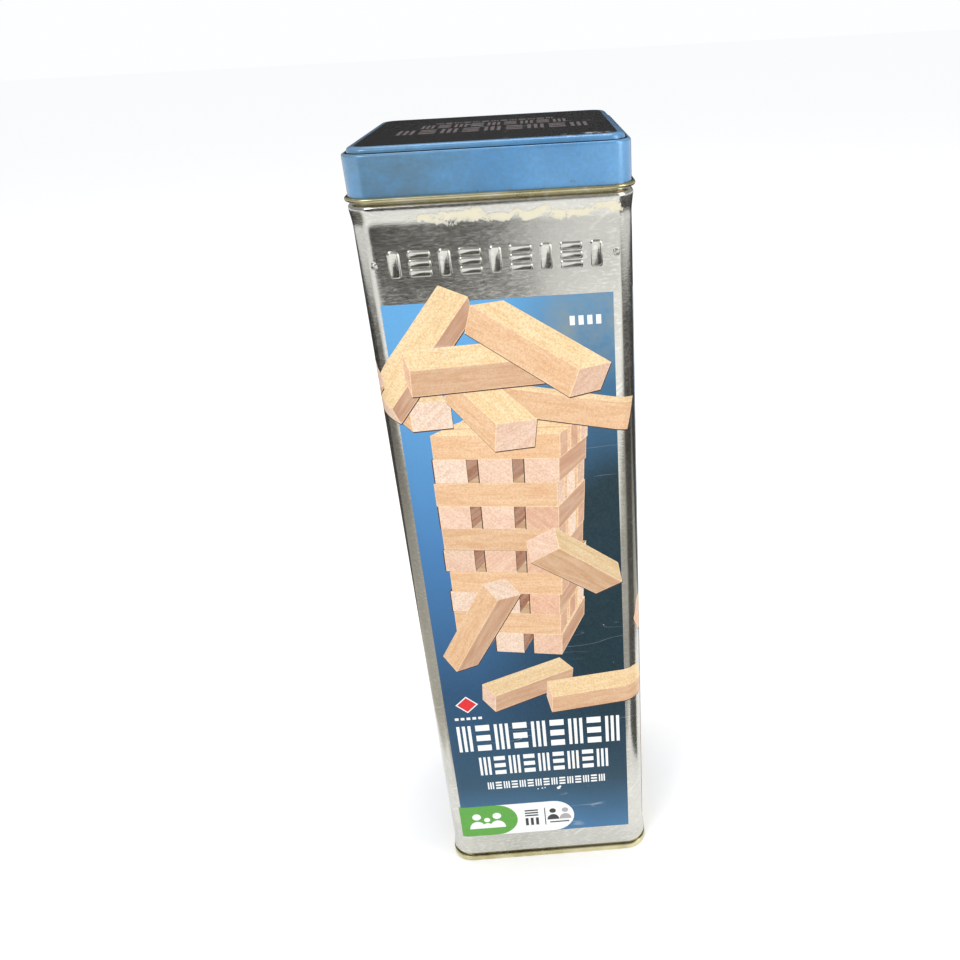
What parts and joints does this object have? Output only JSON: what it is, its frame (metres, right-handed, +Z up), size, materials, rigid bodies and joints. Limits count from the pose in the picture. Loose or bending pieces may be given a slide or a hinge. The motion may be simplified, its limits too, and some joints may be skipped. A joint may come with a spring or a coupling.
{
  "type": "tumbling tower game",
  "caption": "Tall square tin with rounded corners and a slip-on lid, packed with a stacked tower of bevelled wooden blocks for a tumbling tower game.",
  "frame": {"origin": "centre of the bottom rim that the tin stands on", "axes": "+Z up along the tin, -Y towards the printed front, +X to the right of the front"},
  "size_m": [0.0816, 0.0816, 0.2781],
  "materials": {
    "tinplate": "bare rolled tinplate, semi-polished, with a printed panel",
    "gold_tinplate": "gold-lacquered tinplate, semi-gloss",
    "blue_lacquer": "gloss printed lacquer",
    "block_wood": "sanded unfinished hardwood",
    "leaflet_paper": "matt uncoated"
  },
  "bodies": {
    "tin": {"tin_body": "tinplate", "tin_bottom": "gold_tinplate"},
    "layer_01": {"layer_01_block_a": "block_wood", "layer_01_block_b": "block_wood", "layer_01_block_c": "block_wood"},
    "layer_02": {"layer_02_block_a": "block_wood", "layer_02_block_b": "block_wood", "layer_02_block_c": "block_wood"},
    "layer_03": {"layer_03_block_a": "block_wood", "layer_03_block_b": "block_wood", "layer_03_block_c": "block_wood"},
    "layer_04": {"layer_04_block_a": "block_wood", "layer_04_block_b": "block_wood", "layer_04_block_c": "block_wood"},
    "layer_05": {"layer_05_block_a": "block_wood", "layer_05_block_b": "block_wood", "layer_05_block_c": "block_wood"},
    "layer_06": {"layer_06_block_a": "block_wood", "layer_06_block_b": "block_wood", "layer_06_block_c": "block_wood"},
    "layer_07": {"layer_07_block_a": "block_wood", "layer_07_block_b": "block_wood", "layer_07_block_c": "block_wood"},
    "layer_08": {"layer_08_block_a": "block_wood", "layer_08_block_b": "block_wood", "layer_08_block_c": "block_wood"},
    "layer_09": {"layer_09_block_a": "block_wood", "layer_09_block_b": "block_wood", "layer_09_block_c": "block_wood"},
    "layer_10": {"layer_10_block_a": "block_wood", "layer_10_block_b": "block_wood", "layer_10_block_c": "block_wood"},
    "layer_11": {"layer_11_block_a": "block_wood", "layer_11_block_b": "block_wood", "layer_11_block_c": "block_wood"},
    "layer_12": {"layer_12_block_a": "block_wood", "layer_12_block_b": "block_wood", "layer_12_block_c": "block_wood"},
    "layer_13": {"layer_13_block_a": "block_wood", "layer_13_block_b": "block_wood", "layer_13_block_c": "block_wood"},
    "layer_14": {"layer_14_block_a": "block_wood", "layer_14_block_b": "block_wood", "layer_14_block_c": "block_wood"},
    "layer_15": {"layer_15_block_a": "block_wood", "layer_15_block_b": "block_wood", "layer_15_block_c": "block_wood"},
    "layer_16": {"layer_16_block_a": "block_wood", "layer_16_block_b": "block_wood", "layer_16_block_c": "block_wood"},
    "leaflet": {"rules_leaflet": "leaflet_paper"},
    "slip_lid": {"lid": "blue_lacquer"}
  },
  "joints": [
    {"name": "stack_lift", "type": "slide", "parent": "tin", "child": "layer_01", "axis": [0, 0, 1], "range_m": [0, 0.28]},
    {"name": "tower_layer_02_lift", "type": "slide", "parent": "layer_01", "child": "layer_02", "axis": [0, 0, 1], "range_m": [0, 0.017]},
    {"name": "tower_layer_03_lift", "type": "slide", "parent": "layer_02", "child": "layer_03", "axis": [0, 0, 1], "range_m": [0, 0.017]},
    {"name": "tower_layer_04_lift", "type": "slide", "parent": "layer_03", "child": "layer_04", "axis": [0, 0, 1], "range_m": [0, 0.017]},
    {"name": "tower_layer_05_lift", "type": "slide", "parent": "layer_04", "child": "layer_05", "axis": [0, 0, 1], "range_m": [0, 0.017]},
    {"name": "tower_layer_06_lift", "type": "slide", "parent": "layer_05", "child": "layer_06", "axis": [0, 0, 1], "range_m": [0, 0.017]},
    {"name": "tower_layer_07_lift", "type": "slide", "parent": "layer_06", "child": "layer_07", "axis": [0, 0, 1], "range_m": [0, 0.017]},
    {"name": "tower_layer_08_lift", "type": "slide", "parent": "layer_07", "child": "layer_08", "axis": [0, 0, 1], "range_m": [0, 0.017]},
    {"name": "tower_layer_09_lift", "type": "slide", "parent": "layer_08", "child": "layer_09", "axis": [0, 0, 1], "range_m": [0, 0.017]},
    {"name": "tower_layer_10_lift", "type": "slide", "parent": "layer_09", "child": "layer_10", "axis": [0, 0, 1], "range_m": [0, 0.017]},
    {"name": "tower_layer_11_lift", "type": "slide", "parent": "layer_10", "child": "layer_11", "axis": [0, 0, 1], "range_m": [0, 0.017]},
    {"name": "tower_layer_12_lift", "type": "slide", "parent": "layer_11", "child": "layer_12", "axis": [0, 0, 1], "range_m": [0, 0.017]},
    {"name": "tower_layer_13_lift", "type": "slide", "parent": "layer_12", "child": "layer_13", "axis": [0, 0, 1], "range_m": [0, 0.017]},
    {"name": "tower_layer_14_lift", "type": "slide", "parent": "layer_13", "child": "layer_14", "axis": [0, 0, 1], "range_m": [0, 0.017]},
    {"name": "tower_layer_15_lift", "type": "slide", "parent": "layer_14", "child": "layer_15", "axis": [0, 0, 1], "range_m": [0, 0.017]},
    {"name": "tower_layer_16_lift", "type": "slide", "parent": "layer_15", "child": "layer_16", "axis": [0, 0, 1], "range_m": [0, 0.017]},
    {"name": "leaflet_lift", "type": "slide", "parent": "layer_16", "child": "leaflet", "axis": [0, 0, 1], "range_m": [0, 0.015]},
    {"name": "lid_lift", "type": "slide", "parent": "leaflet", "child": "slip_lid", "axis": [0, 0, 1], "range_m": [0, 0.06]}
  ]
}
